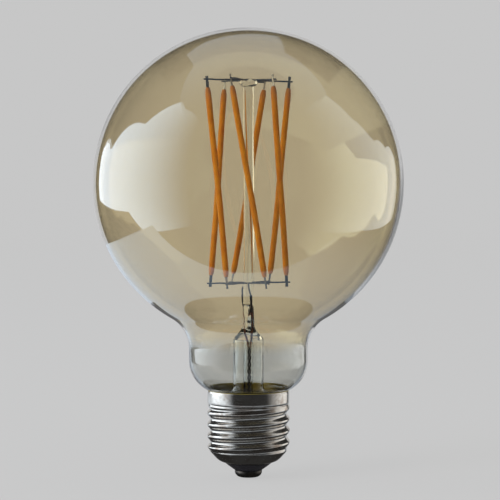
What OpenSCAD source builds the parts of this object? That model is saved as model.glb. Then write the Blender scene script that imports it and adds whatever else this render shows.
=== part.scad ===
// Smart light bulb: a large tinted globe with six leaning LED filaments on a glass stem,
// an Edison screw cap, and a driver with a wireless board inside the cap.
// The origin is the bottom centre of the centre contact, and +Z runs up the bulb's axis.

/* [Globe] */
// Outer diameter of the blown globe
globe_d = 97.5; // [92:0.5:104]
// Height from the centre contact to the crown
overall_h = 141.25; // [140:0.25:144]
// Wall of the blown glass
glass_t = 0.8; // [0.6:0.1:1]
// Outer diameter of the neck below the globe
neck_d = 37.4; // [36:0.2:39]
// Radius of the hollow curve between globe and neck
shoulder_r = 11; // [9:0.5:13]
// Radius of the rounded foot of the neck
foot_r = 10.5; // [10:0.1:11]
// Outer diameter of the glass where it enters the cap
seal_d = 24.4; // [24.2:0.1:24.6]

/* [Screw cap] */
// Outer diameter of the plain collar
collar_d = 25.9; // [25.7:0.05:26]
// Height of the cap's rim
rim_z = 27.4; // [26.6:0.1:27.5]
// Diameter over the thread's crests
crest_d = 26.2; // [26.05:0.05:26.45]
// Diameter in the thread's roots
root_d = 24.2; // [24:0.05:24.3]
// Pitch of the round thread
pitch = 3.62; // [3.6:0.01:3.64]
// Thickness of the cap's sheet metal
sheet_t = 0.3; // [0.25:0.05:0.35]
// Diameter of the centre contact
contact_d = 8.6; // [8:0.1:9]

/* [Filaments] */
// Outer diameter of a filament's phosphor jacket
filament_d = 1.9; // [1.7:0.05:2.2]
// Radius of the ring of upper filament ends
upper_ring_r = 12.95; // [12:0.05:14]
// Radius of the ring of lower filament ends
lower_ring_r = 12; // [11:0.05:13]
// Height between the two rings
cage_h = 63.5; // [60:0.5:66]
// Turn of the lower ring against the upper ring, in degrees
lean = 51; // [40:1:60]
// Direction of the first upper filament end, in degrees
first_angle = 5.5; // [0:0.5:20]
// Diameter of the support wires
wire_d = 0.5; // [0.4:0.05:0.6]

/* [Stem] */
// Diameter of the solid centre rod
rod_d = 3.4; // [3:0.1:3.5]
// Outer diameter of the flare tube
tube_d = 9.6; // [9.2:0.1:10]
// Outer diameter of the exhaust tube
exhaust_d = 3.2; // [3:0.1:3.3]
// Direction in which the press is wide, in degrees
press_turn = -60; // [-66:1:-54]

/* [Electronics] */
// Width of the driver board
board_w = 20; // [18:0.5:21]
// Height of the driver board
board_h = 11; // [10.6:0.1:11]
// Thickness of the driver board
board_t = 1; // [0.8:0.1:1.2]

/* [Hidden] */

fine = 96;
round_fn = 32;
seam = 0.01;

// Globe outline: a sphere, a hollow shoulder, a plain neck and a rounded foot.
globe_r = globe_d / 2;
globe_z = overall_h - globe_r;
neck_r = neck_d / 2;
hollow_x = neck_r + shoulder_r;
hollow_z = globe_z - sqrt(pow(globe_r + shoulder_r, 2) - pow(hollow_x, 2));
foot_z = 37;
seal_r = seal_d / 2;
seal_z = 23.3;

// Cap heights
collar_r = collar_d / 2;
thread_top_z = 23;
thread_low_z = 8.3;
thread_phase_z = 7.59;
thread_run = 1.6;
skirt_r = 12.2;
waist = [9.6, 5.6];
lip = [7.4, 4.6];
contact_r = contact_d / 2;
contact_top_z = 2.2;
contact_round = 1.85;
pin_r = 0.5;
plug_top_z = 6.9;
cement_h = 3.3;
disc_t = 0.5;
disc_gap = 0.3;
disc_hole = [-1.2, 4.2];

// Filament cage
filament_r = filament_d / 2;
wire_r = wire_d / 2;
cage_rise = 0.55;
upper_z = globe_z + cage_rise + cage_h / 2;
lower_z = upper_z - cage_h;
wire_overhang = 1.1;
weld_shift = 0.42;
strip_w = 1.1;
strip_t = 0.4;
tab_w = 0.95;
tab_t = 0.25;
tab_overhang = 1.3;
tab_len = 4.5;
jacket_gap = 2.4;
jacket_taper = 2.6;
jacket_tip_r = 0.62;
chip_w = 0.5;
chip_t = 0.2;
chip_len = 1.2;
chips = 26;

// Stem
rod_r = rod_d / 2;
button_d = 5.6;
button_h = 2.4;
button_sink = 2;
tube_r = tube_d / 2;
tube_t = 0.7;
tube_top_z = 43.8;
bend_r = 4.6;
bend_z = 29;
flare_floor_z = bend_z - bend_r - tube_t;
press_top_z = 54.5;
press_w = 4.8;
press_t = 2.2;
lead_offset = 2.15;
lead_r = 0.42;
lead_top_z = 57.2;
lead_low_z = 52;
star_r = 2.1;
live_arc = [267, 162];
neutral_arc = [113, 137];
exhaust_r = exhaust_d / 2;
exhaust_bore_r = 1;
exhaust_tip_z = 20.6;

// Twisted supply leads in the flare tube
twist_at = [0.3, -2.7];
twist_r = 0.34;
twist_pitch = 4.2;
twist_top_z = 42;
twist_low_z = 25;
sleeve_r = 0.27;
core_r = 0.16;
twist_rings = 30;

// Driver board: its front face is at y = 0 and its back face at y = board_t.
board_low_z = 8.6;
board_top_z = board_low_z + board_h;
pad_x = 3.2;
pad_z = 18.4;
pad_bore_r = 0.45;
neutral_pad = [9.2, 17.5];
package_z = 9.6;
package_gap = 0.2;
leg_t = 0.4;
leg_len = 0.7;
rectifier_x = -9.2;
rectifier_size = [4.2, 1.4, 3.6];
driver_chip_x = -2.4;
driver_chip_size = [4.8, 1.4, 3.8];
pin_pitch = 1.27;
diode_at = [5, 9.8];
diode_size = [4.2, 1.9, 2.4];
capacitor_at = [-5.2, 4.6, 9.2];
capacitor_r = 2.9;
capacitor_h = 9;
capacitor_sleeve_t = 0.2;
inductor_at = [4.6, 4, 9.4];
inductor_flange = [2.9, 1];
inductor_hub = [1.2, 4.4];
winding_turns = 11;
winding_r = 2.35;
enamel_wire_r = 0.19;
resistor_at = [2.4, -3.9, 8.2];
resistor_len = 5.4;
resistor_lead = 1.2;
hookup_wire_r = 0.3;

// Wireless board, which stands in front of the driver board
radio_y = -5.2;
radio_t = 0.8;
radio_w = 13;
radio_h = 11.6;
radio_low_z = board_low_z + 0.8;
radio_chip = [4, 0.85, 4];
crystal = [2, 0.7, 2.5];
can = [8.8, 1.7, 6.4];
can_wall = 0.2;
antenna_folds = 8;
antenna_pitch = 1.1;
antenna_rise = 2.2;
antenna_line = 0.4;
antenna_t = 0.1;

function press_dir() = [cos(press_turn), sin(press_turn)];
function lead_at(side, z) = [side * lead_offset * press_dir()[0], side * lead_offset * press_dir()[1], z];
function ring_point(radius, angle, z) = [radius * cos(angle), radius * sin(angle), z];
function upper_angle(i) = first_angle + 60 * (i - 1);
function lower_angle(i) = upper_angle(i) + lean;
function unit(v) = v / norm(v);
function ease(t) = let (c = min(max(t, 0), 1)) c * c * (3 - 2 * c);

// Round bar between two points, with a ball at its far end when it has to bend there.
module bar(from, to, radius, ball = false) {
    run = to - from;
    translate(from)
        rotate([0, acos(run[2] / norm(run)), atan2(run[1], run[0])])
            cylinder(h = norm(run), r = radius, $fn = round_fn);
    if (ball)
        translate(to)
            sphere(r = radius, $fn = round_fn);
}

// Tube swept along a list of points that run mostly upwards.
module swept(points, radius, sides = 8) {
    last = len(points) - 1;
    rings = [for (i = [0 : last])
        let (
            t = unit(points[min(i + 1, last)] - points[max(i - 1, 0)]),
            u = unit(cross([0, 1, 0], t)),
            v = cross(t, u)
        )
        for (k = [0 : sides - 1])
            points[i] + radius * (cos(360 * k / sides) * u + sin(360 * k / sides) * v)
    ];
    walls = [for (i = [0 : last - 1], k = [0 : sides - 1])
        let (a = i * sides + k, b = i * sides + (k + 1) % sides)
        each [[a, a + sides, b], [b, a + sides, b + sides]]
    ];
    caps = [[for (k = [0 : sides - 1]) k], [for (k = [sides - 1 : -1 : 0]) last * sides + k]];
    polyhedron(points = rings, faces = concat(walls, caps));
}

// ---- Envelope and stem ----

// Half of the outline, stacked from level slices that meet where one curve runs into the next.
module globe_outline(inset, low_z) {
    crown_r = globe_r - inset;
    touch = crown_r / (globe_r + shoulder_r);
    touch_z = globe_z - (globe_z - hollow_z) * touch;
    foot_x = neck_r - foot_r;
    intersection() {
        translate([0, globe_z])
            circle(r = crown_r, $fn = fine);
        translate([0, touch_z])
            square([globe_d, overall_h]);
    }
    difference() {
        translate([0, hollow_z])
            square([hollow_x * touch, touch_z - hollow_z]);
        translate([hollow_x, hollow_z])
            circle(r = shoulder_r + inset, $fn = fine);
    }
    translate([0, foot_z])
        square([neck_r - inset, hollow_z - foot_z]);
    intersection() {
        translate([foot_x, foot_z])
            circle(r = foot_r - inset, $fn = fine);
        translate([foot_x, foot_z - foot_r])
            square(foot_r);
    }
    translate([0, low_z])
        square([seal_r - inset, foot_z - low_z]);
}

module globe() {
    color([0.78, 0.66, 0.42, 0.35])
        rotate_extrude($fn = fine)
            difference() {
                globe_outline(0, seal_z);
                globe_outline(glass_t, seal_z - 1);
            }
}

module stem_flare() {
    bend_x = tube_r + bend_r;
    color([0.85, 0.88, 0.86, 0.5])
        rotate_extrude($fn = fine) {
            translate([tube_r - tube_t, bend_z])
                square([tube_t, tube_top_z - bend_z]);
            intersection() {
                difference() {
                    translate([bend_x, bend_z])
                        circle(r = bend_r + tube_t, $fn = fine);
                    translate([bend_x, bend_z])
                        circle(r = bend_r, $fn = fine);
                }
                translate([0, flare_floor_z - 1])
                    square([bend_x, bend_z - flare_floor_z + 1]);
            }
            translate([bend_x, flare_floor_z])
                square([seal_r - glass_t - bend_x, tube_t]);
        }
}

module press_slab(width, depth, z, height) {
    translate([0, 0, z])
        rotate([0, 0, press_turn])
            linear_extrude(height)
                hull()
                    for (side = [-1, 1])
                        translate([side * (width - depth) / 2, 0])
                            circle(d = depth, $fn = round_fn);
}

module stem_press() {
    waist_z = 49.5;
    shoulder_z = 46;
    color([0.82, 0.86, 0.84, 0.55])
        difference() {
            union() {
                hull() {
                    press_slab(press_w, press_t, press_top_z - 0.5, 0.5);
                    press_slab(press_w + 0.6, press_t + 0.3, waist_z, 0.2);
                }
                hull() {
                    press_slab(press_w + 0.6, press_t + 0.3, waist_z, 0.2);
                    press_slab(2 * tube_r - 1.6, press_t + 3, shoulder_z, 0.2);
                }
                hull() {
                    press_slab(2 * tube_r - 1.6, press_t + 3, shoulder_z, 0.2);
                    translate([0, 0, tube_top_z])
                        cylinder(h = 0.4, r = tube_r, $fn = round_fn);
                }
            }
            dumet_path(1);
            dumet_path(-1);
            for (side = [-1, 1])
                bar(lead_at(side, lead_low_z), lead_at(side, press_top_z + 1), lead_r);
        }
}

module exhaust_tube() {
    color([0.85, 0.88, 0.86, 0.5])
        rotate_extrude($fn = fine)
            difference() {
                union() {
                    translate([0, exhaust_tip_z + exhaust_r])
                        square([exhaust_r, tube_top_z - exhaust_tip_z - exhaust_r]);
                    intersection() {
                        translate([0, exhaust_tip_z + exhaust_r])
                            circle(r = exhaust_r, $fn = fine);
                        translate([0, exhaust_tip_z])
                            square(exhaust_r * 2);
                    }
                }
                translate([0, exhaust_tip_z + exhaust_r])
                    square([exhaust_bore_r, tube_top_z]);
            }
}

module centre_rod() {
    color([0.85, 0.88, 0.86, 0.5])
        translate([0, 0, press_top_z])
            cylinder(h = upper_z - button_sink - press_top_z, r = rod_r, $fn = fine);
}

module top_spokes(first_r) {
    for (i = [1 : 6])
        spoke(upper_angle(i), upper_z, first_r, upper_ring_r + wire_overhang);
}

module spoke(angle, z, from_r, to_r) {
    translate([0, 0, z])
        rotate([0, 0, angle])
            translate([from_r, weld_shift, 0])
                rotate([0, 90, 0])
                    cylinder(h = to_r - from_r, r = wire_r, $fn = round_fn);
}

module top_button() {
    color([0.8, 0.82, 0.78, 0.7])
        difference() {
            translate([0, 0, upper_z - button_sink])
                rotate_extrude($fn = fine) {
                    square([button_d / 2 - button_h / 2, button_h]);
                    intersection() {
                        translate([button_d / 2 - button_h / 2, button_h / 2])
                            circle(d = button_h, $fn = fine);
                        square([button_d, button_h]);
                    }
                }
            top_spokes(1.4);
        }
}

module top_star_wires() {
    color([0.36, 0.35, 0.34])
        top_spokes(1.4);
}

// Half of the lower star: three spokes on a curved wire that goes around the rod.
module half_star(first_spoke, arc) {
    translate([0, 0, lower_z])
        rotate_extrude(angle = arc[1], start = arc[0], $fn = fine)
            translate([star_r, 0])
                circle(r = wire_r, $fn = round_fn);
    for (k = [0 : 2])
        spoke(lower_angle(first_spoke + k), lower_z, star_r, lower_ring_r + wire_overhang);
}

module lower_star_live() {
    color([0.22, 0.24, 0.3])
        half_star(5, live_arc);
}

module lower_star_neutral() {
    color([0.22, 0.24, 0.3])
        half_star(2, neutral_arc);
}

module inner_lead(side, arc_angle) {
    weld = ring_point(star_r, arc_angle, lower_z - wire_r);
    bar(weld, lead_at(side, lead_top_z), wire_r);
    bar(lead_at(side, lead_low_z), lead_at(side, lead_top_z), lead_r);
}

module inner_lead_live() {
    color([0.25, 0.24, 0.24])
        inner_lead(1, live_arc[0] + 2);
}

module inner_lead_neutral() {
    color([0.25, 0.24, 0.24])
        inner_lead(-1, neutral_arc[0] + 2);
}

function twist_point(side, z) = [
    twist_at[0] + side * twist_r * cos(360 * (z - twist_top_z) / twist_pitch),
    twist_at[1] + side * twist_r * sin(360 * (z - twist_top_z) / twist_pitch),
    z
];

module dumet_path(side) {
    bar(lead_at(side, lead_low_z), twist_point(side, twist_top_z), wire_r);
}

module dumet_live() {
    color([0.5, 0.27, 0.18])
        dumet_path(1);
}

module dumet_neutral() {
    color([0.5, 0.27, 0.18])
        dumet_path(-1);
}

function outer_lead_points(side, low_z, high_z) = [
    for (i = [0 : twist_rings])
        twist_point(side, low_z + (high_z - low_z) * i / twist_rings)
];

// The supply lead rises from its pad on the driver board and twists up the flare tube.
module outer_lead(side) {
    pad = [side * pad_x, -0.9, pad_z];
    knee = [side * pad_x, -1.6, board_top_z + 0.8];
    swept(concat([pad, knee], outer_lead_points(side, twist_low_z - 1, twist_top_z)), core_r);
}

module outer_lead_live() {
    color([0.72, 0.45, 0.2])
        outer_lead(1);
}

module outer_lead_neutral() {
    color([0.72, 0.45, 0.2])
        outer_lead(-1);
}

module lead_sleeves() {
    color([0.12, 0.1, 0.09])
        for (side = [-1, 1])
            difference() {
                swept(outer_lead_points(side, twist_low_z, twist_top_z - 0.5), sleeve_r);
                swept(outer_lead_points(side, twist_low_z - 1, twist_top_z), core_r);
            }
}

// ---- Filaments ----

function filament_low(i) = ring_point(lower_ring_r, lower_angle(i), lower_z);
function filament_run(i) = ring_point(upper_ring_r, upper_angle(i), upper_z) - filament_low(i);
function filament_len() = norm(filament_run(1));

// Places children on the filament's axis, with their X side turned towards the given direction.
module on_filament(i, facing) {
    run = filament_run(i);
    heading = atan2(run[1], run[0]);
    translate(filament_low(i))
        rotate([0, acos(run[2] / norm(run)), heading])
            rotate([0, 0, facing - heading])
                children();
}

module filament_bar(width, thickness, from_z, length, shift = 0) {
    translate([-width / 2, shift - thickness / 2, from_z])
        cube([width, thickness, length]);
}

module strip(i) {
    on_filament(i, lower_angle(i) - lean / 2)
        filament_bar(strip_w, strip_t, tab_len - tab_overhang,
            filament_len() - 2 * (tab_len - tab_overhang));
}

module tab_lower(i) {
    on_filament(i, lower_angle(i))
        filament_bar(tab_w, tab_t, -tab_overhang, tab_len);
}

module tab_upper(i) {
    on_filament(i, upper_angle(i))
        filament_bar(tab_w, tab_t, filament_len() - tab_len + tab_overhang, tab_len);
}

module chip_row(i, length) {
    first = jacket_gap + 2;
    step = (filament_len() - 2 * first - chip_len) / (chips - 1);
    on_filament(i, lower_angle(i) - lean / 2)
        for (k = [0 : chips - 1])
            filament_bar(chip_w, chip_t, first + k * step, length,
                (strip_t + chip_t) / 2);
}

module filament(i) {
    length = filament_len();
    color([0.93, 0.55, 0.16])
        difference() {
            on_filament(i, 0)
                rotate_extrude($fn = round_fn)
                    polygon([
                        [0, jacket_gap], [jacket_tip_r, jacket_gap],
                        [filament_r, jacket_gap + jacket_taper],
                        [filament_r, length - jacket_gap - jacket_taper],
                        [jacket_tip_r, length - jacket_gap], [0, length - jacket_gap]
                    ]);
            strip(i);
            tab_lower(i);
            tab_upper(i);
            chip_row(i, chip_len);
        }
}

module filament_strips() {
    color([0.88, 0.86, 0.8])
        for (i = [1 : 6])
            strip(i);
}

module led_chips() {
    color([0.2, 0.35, 0.75])
        for (i = [1 : 6])
            chip_row(i, chip_len);
}

module filament_tabs_upper() {
    color([0.55, 0.54, 0.52])
        for (i = [1 : 6])
            tab_upper(i);
}

module filament_tabs_lower() {
    color([0.3, 0.32, 0.38])
        for (i = [1 : 6])
            tab_lower(i);
}

// ---- Screw cap ----

// Radius of the rolled thread at a height and an angle, for the outer or inner sheet face.
function thread_radius(z, angle, inset) =
    let (
        up = ease((thread_top_z - z) / thread_run),
        down = ease((z - thread_low_z) / thread_run),
        mean = (crest_d + root_d) / 4,
        depth = (crest_d - root_d) / 4,
        wave = cos(360 * (z - thread_phase_z) / pitch - angle),
        plain = z > (thread_top_z + thread_low_z) / 2 ? collar_r - 2 * seam : skirt_r - 2 * seam,
        live = min(up, down)
    )
    plain * (1 - live) + (mean + depth * wave) * live - inset;

module thread_sheet() {
    sides = 48;
    rows = 36;
    count = (rows + 1) * sides;
    step_z = (thread_top_z - thread_low_z) / rows;
    points = [for (inset = [0, sheet_t - 4 * seam], i = [0 : rows], k = [0 : sides - 1])
        let (z = thread_low_z + i * step_z, a = 360 * k / sides, r = thread_radius(z, a, inset))
        [r * cos(a), r * sin(a), z]
    ];
    outer = [for (i = [0 : rows - 1], k = [0 : sides - 1])
        let (a = i * sides + k, b = i * sides + (k + 1) % sides)
        each [[a, a + sides, b], [b, a + sides, b + sides]]
    ];
    inner = [for (i = [0 : rows - 1], k = [0 : sides - 1])
        let (a = count + i * sides + k, b = count + i * sides + (k + 1) % sides)
        each [[a, b, a + sides], [b, b + sides, a + sides]]
    ];
    floor_ring = [for (k = [0 : sides - 1])
        let (a = k, b = (k + 1) % sides)
        each [[a, b, a + count], [b, b + count, a + count]]
    ];
    roof_ring = [for (k = [0 : sides - 1])
        let (a = rows * sides + k, b = rows * sides + (k + 1) % sides)
        each [[a, a + count, b], [b, a + count, b + count]]
    ];
    polyhedron(points = points, faces = concat(outer, inner, floor_ring, roof_ring));
}

module cap_shell() {
    color([0.72, 0.7, 0.68]) {
        rotate_extrude($fn = fine)
            translate([collar_r - sheet_t, thread_top_z])
                square([sheet_t, rim_z - thread_top_z]);
        thread_sheet();
        rotate_extrude($fn = fine)
            polygon([
                [skirt_r, thread_low_z], [skirt_r - sheet_t, thread_low_z],
                [waist[0] - sheet_t / 2, waist[1] + 0.9 * sheet_t],
                [lip[0], lip[1] + sheet_t], lip, waist
            ]);
    }
}

module cap_insulator() {
    color([0.05, 0.05, 0.06])
        rotate_extrude($fn = fine)
            polygon([
                [pin_r, contact_top_z], [contact_r, contact_top_z], lip,
                [lip[0], lip[1] + sheet_t],
                [waist[0] - sheet_t / 2, waist[1] + 0.9 * sheet_t],
                [waist[0] - sheet_t / 2, plug_top_z], [pin_r, plug_top_z]
            ]);
}

module centre_contact() {
    flat_r = contact_r - contact_round;
    color([0.22, 0.2, 0.19])
        rotate_extrude($fn = fine) {
            square([flat_r, contact_top_z]);
            translate([0, contact_round])
                square([contact_r, contact_top_z - contact_round]);
            intersection() {
                translate([flat_r, contact_round])
                    circle(r = contact_round, $fn = fine);
                square([contact_r, contact_round]);
            }
        }
}

module contact_pin() {
    color([0.75, 0.6, 0.3])
        translate([0, 0, contact_top_z])
            cylinder(h = plug_top_z + 0.8 - contact_top_z, r = pin_r, $fn = round_fn);
}

module cap_cement() {
    color([0.42, 0.38, 0.14])
        translate([0, 0, seal_z])
            difference() {
                cylinder(h = cement_h, r = collar_r - sheet_t, $fn = fine);
                translate([0, 0, -1])
                    cylinder(h = cement_h + 2, r = seal_r, $fn = fine);
            }
}

module insulating_disc() {
    color([0.45, 0.38, 0.12])
        translate([0, 0, seal_z - disc_gap - disc_t])
            difference() {
                cylinder(h = disc_t, r = root_d / 2 - sheet_t - disc_gap, $fn = fine);
                translate([0, disc_hole[0], -1])
                    cylinder(h = disc_t + 2, r = disc_hole[1], $fn = fine);
            }
}

// ---- Electronics ----

module driver_board() {
    color([0.12, 0.4, 0.2])
        difference() {
            translate([-board_w / 2, 0, board_low_z])
                cube([board_w, board_t, board_h]);
            for (side = [-1, 1])
                translate([side * pad_x, -1, pad_z])
                    rotate([-90, 0, 0])
                        cylinder(h = board_t + 2, r = pad_bore_r, $fn = round_fn);
        }
}

// Moulded package on the driver board's front face, with legs under and over it.
module leaded_package(x, size, leg_places, leg_w) {
    translate([x, -package_gap - size[1], package_z])
        cube(size);
    for (leg_x = leg_places, leg_z = [-leg_len, size[2]])
        translate([x + leg_x, -leg_t, package_z + leg_z])
            cube([leg_w, leg_t, leg_len]);
}

module rectifier() {
    color([0.1, 0.1, 0.11])
        leaded_package(rectifier_x, rectifier_size, [0.3, 3.1], 0.8);
}

module driver_chip() {
    color([0.12, 0.12, 0.13])
        leaded_package(driver_chip_x, driver_chip_size,
            [for (k = [0 : 3]) 0.3 + k * pin_pitch], leg_t);
}

module flyback_diode() {
    tab = [0.6, leg_t, 1.4];
    color([0.14, 0.13, 0.13]) {
        translate([diode_at[0], -diode_size[1] - package_gap / 2, diode_at[1]])
            cube(diode_size);
        for (dx = [-tab[0], diode_size[0]])
            translate([diode_at[0] + dx, -leg_t, diode_at[1] + (diode_size[2] - tab[2]) / 2])
                cube(tab);
    }
}

module smoothing_capacitor() {
    color([0.75, 0.75, 0.76])
        translate(capacitor_at)
            cylinder(h = capacitor_h, r = capacitor_r, $fn = fine);
}

module capacitor_sleeve() {
    color([0.1, 0.16, 0.3])
        translate(capacitor_at + [0, 0, 2 * capacitor_sleeve_t])
            difference() {
                cylinder(h = capacitor_h - 4 * capacitor_sleeve_t,
                    r = capacitor_r + capacitor_sleeve_t, $fn = fine);
                translate([0, 0, -1])
                    cylinder(h = capacitor_h + 2, r = capacitor_r, $fn = fine);
            }
}

module inductor_core() {
    color([0.16, 0.16, 0.17])
        translate(inductor_at) {
            for (z = [0, inductor_flange[1] + inductor_hub[1]])
                translate([0, 0, z])
                    cylinder(h = inductor_flange[1], r = inductor_flange[0], $fn = fine);
            translate([0, 0, inductor_flange[1]])
                cylinder(h = inductor_hub[1], r = inductor_hub[0], $fn = fine);
        }
}

module inductor_winding() {
    turn_pitch = inductor_hub[1] / winding_turns;
    color([0.72, 0.38, 0.16])
        translate(inductor_at + [0, 0, inductor_flange[1]])
            difference() {
                rotate_extrude($fn = fine) {
                    square([winding_r, inductor_hub[1]]);
                    for (k = [0 : winding_turns - 1])
                        translate([winding_r, (k + 0.5) * turn_pitch])
                            circle(r = enamel_wire_r, $fn = 16);
                }
                translate([0, 0, -1])
                    cylinder(h = inductor_hub[1] + 2, r = inductor_hub[0], $fn = fine);
            }
}

module fusible_resistor() {
    color([0.28, 0.5, 0.55])
        translate(resistor_at)
            rotate([0, 90, 0]) {
                cylinder(h = resistor_len, r = 1, $fn = fine);
                for (z = [-resistor_lead, resistor_len])
                    translate([0, 0, z])
                        cylinder(h = resistor_lead, r = wire_r, $fn = round_fn);
            }
}

module wireless_board() {
    color([0.08, 0.14, 0.3])
        translate([-radio_w / 2, radio_y, radio_low_z])
            cube([radio_w, radio_t, radio_h]);
}

// Part lying on the wireless board's front face, placed from the board's lower middle.
module on_radio(x, z, depth) {
    translate([x, radio_y - depth, radio_low_z + z])
        children();
}

module wireless_chip() {
    color([0.1, 0.1, 0.1])
        on_radio(-3.6, 2.2, radio_chip[1])
            cube(radio_chip);
}

module crystal_oscillator() {
    color([0.8, 0.78, 0.7])
        on_radio(1.3, 2.8, crystal[1])
            cube(crystal);
}

module shield_can() {
    color([0.78, 0.78, 0.78])
        on_radio(-can[0] / 2, 1, can[1])
            difference() {
                cube(can);
                translate([can_wall, can_wall, can_wall])
                    cube([can[0] - 2 * can_wall, can[1], can[2] - 2 * can_wall]);
            }
}

module antenna_trace() {
    color([0.85, 0.6, 0.3])
        on_radio(-4.6, 8.2, antenna_t)
            for (k = [0 : antenna_folds]) {
                translate([k * antenna_pitch, 0, 0])
                    cube([antenna_line, antenna_t, antenna_rise]);
                if (k < antenna_folds)
                    translate([k * antenna_pitch, 0, k % 2 == 0 ? antenna_rise - antenna_line : 0])
                        cube([antenna_pitch + antenna_line, antenna_t, antenna_line]);
            }
}

module header_pins() {
    first_x = -2 * pin_pitch;
    color([0.85, 0.7, 0.3])
        for (k = [0 : 4])
            translate([first_x + k * pin_pitch, radio_y + radio_t, radio_low_z + 6.2])
                rotate([-90, 0, 0])
                    cylinder(h = -radio_y - radio_t, r = wire_r, $fn = round_fn);
}

module chip_passives() {
    passive = [0.8, 0.6, 1.6];
    first_x = -9;
    step = 1.5;
    color([0.62, 0.5, 0.36])
        for (k = [0 : 3])
            translate([first_x + k * step, -passive[1], 15])
                cube(passive);
}

module live_wire() {
    pin_top = [0, 0, plug_top_z + 1.1];
    resistor_end = [resistor_at[0] - resistor_lead - 0.2, resistor_at[1] + 0.2, resistor_at[2]];
    color([0.75, 0.12, 0.1])
        bar(pin_top, resistor_end, hookup_wire_r);
}

module neutral_wire() {
    pad = [neutral_pad[0], -0.5, neutral_pad[1]];
    rim = [root_d / 2 - sheet_t - 0.2, -3, 21.4];
    color([0.15, 0.2, 0.5])
        bar(pad, rim, hookup_wire_r);
}

// Half ball of solder on the driver board's back face.
module solder_bead(x, z, radius) {
    translate([x, board_t, z])
        intersection() {
            sphere(r = radius, $fn = round_fn);
            translate([-radius, 0, -radius])
                cube(2 * radius);
        }
}

module solder_joints() {
    color([0.7, 0.7, 0.72]) {
        for (side = [-1, 1])
            solder_bead(side * pad_x, pad_z, 0.8);
        solder_bead(neutral_pad[0], neutral_pad[1], 0.7);
    }
}

globe();
stem_flare();
stem_press();
exhaust_tube();
centre_rod();
top_button();
top_star_wires();
lower_star_live();
lower_star_neutral();
inner_lead_live();
inner_lead_neutral();
dumet_live();
dumet_neutral();
outer_lead_live();
outer_lead_neutral();
lead_sleeves();
filament(1);  // filament_1
filament(2);  // filament_2
filament(3);  // filament_3
filament(4);  // filament_4
filament(5);  // filament_5
filament(6);  // filament_6
filament_strips();
led_chips();
filament_tabs_upper();
filament_tabs_lower();
cap_shell();
cap_insulator();
centre_contact();
contact_pin();
cap_cement();
insulating_disc();
driver_board();
rectifier();
smoothing_capacitor();
capacitor_sleeve();
driver_chip();
flyback_diode();
inductor_core();
inductor_winding();
fusible_resistor();
wireless_board();
wireless_chip();
crystal_oscillator();
shield_can();
antenna_trace();
header_pins();
chip_passives();
live_wire();
neutral_wire();
solder_joints();
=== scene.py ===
import math

import bpy
import numpy as np
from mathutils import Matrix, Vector


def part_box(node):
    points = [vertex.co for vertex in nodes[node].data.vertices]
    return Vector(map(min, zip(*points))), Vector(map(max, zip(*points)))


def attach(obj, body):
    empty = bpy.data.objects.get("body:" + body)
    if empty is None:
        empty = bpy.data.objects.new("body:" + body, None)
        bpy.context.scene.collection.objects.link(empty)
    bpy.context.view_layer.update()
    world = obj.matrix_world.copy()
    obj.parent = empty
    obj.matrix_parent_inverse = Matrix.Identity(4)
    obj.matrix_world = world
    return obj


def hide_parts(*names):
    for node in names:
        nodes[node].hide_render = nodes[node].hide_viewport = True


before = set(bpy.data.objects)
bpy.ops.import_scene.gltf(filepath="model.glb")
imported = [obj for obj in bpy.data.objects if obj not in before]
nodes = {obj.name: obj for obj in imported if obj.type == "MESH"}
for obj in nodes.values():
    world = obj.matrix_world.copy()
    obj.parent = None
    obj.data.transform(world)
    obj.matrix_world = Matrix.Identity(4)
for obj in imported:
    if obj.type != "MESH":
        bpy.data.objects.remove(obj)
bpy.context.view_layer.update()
scene = bpy.context.scene
mm = 0.001
print("frame loaded:", len(nodes), "nodes")


class Value:
    # wraps a node's output, so that shader maths reads as ordinary maths
    def __init__(self, finish, socket):
        self.finish = finish
        self.socket = socket

    def worked(self, operation, first, second=None):
        inputs = {0: first} if second is None else {0: first, 1: second}
        return self.finish.make("ShaderNodeMath", {"operation": operation}, inputs)

    def __add__(self, other):
        return self.worked("ADD", self, other)

    def __radd__(self, other):
        return self.worked("ADD", other, self)

    def __sub__(self, other):
        return self.worked("SUBTRACT", self, other)

    def __mul__(self, other):
        return self.worked("MULTIPLY", self, other)

    def __pow__(self, other):
        return self.worked("POWER", self, other)

    def wave(self):
        return self.worked("SINE", self)


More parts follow.
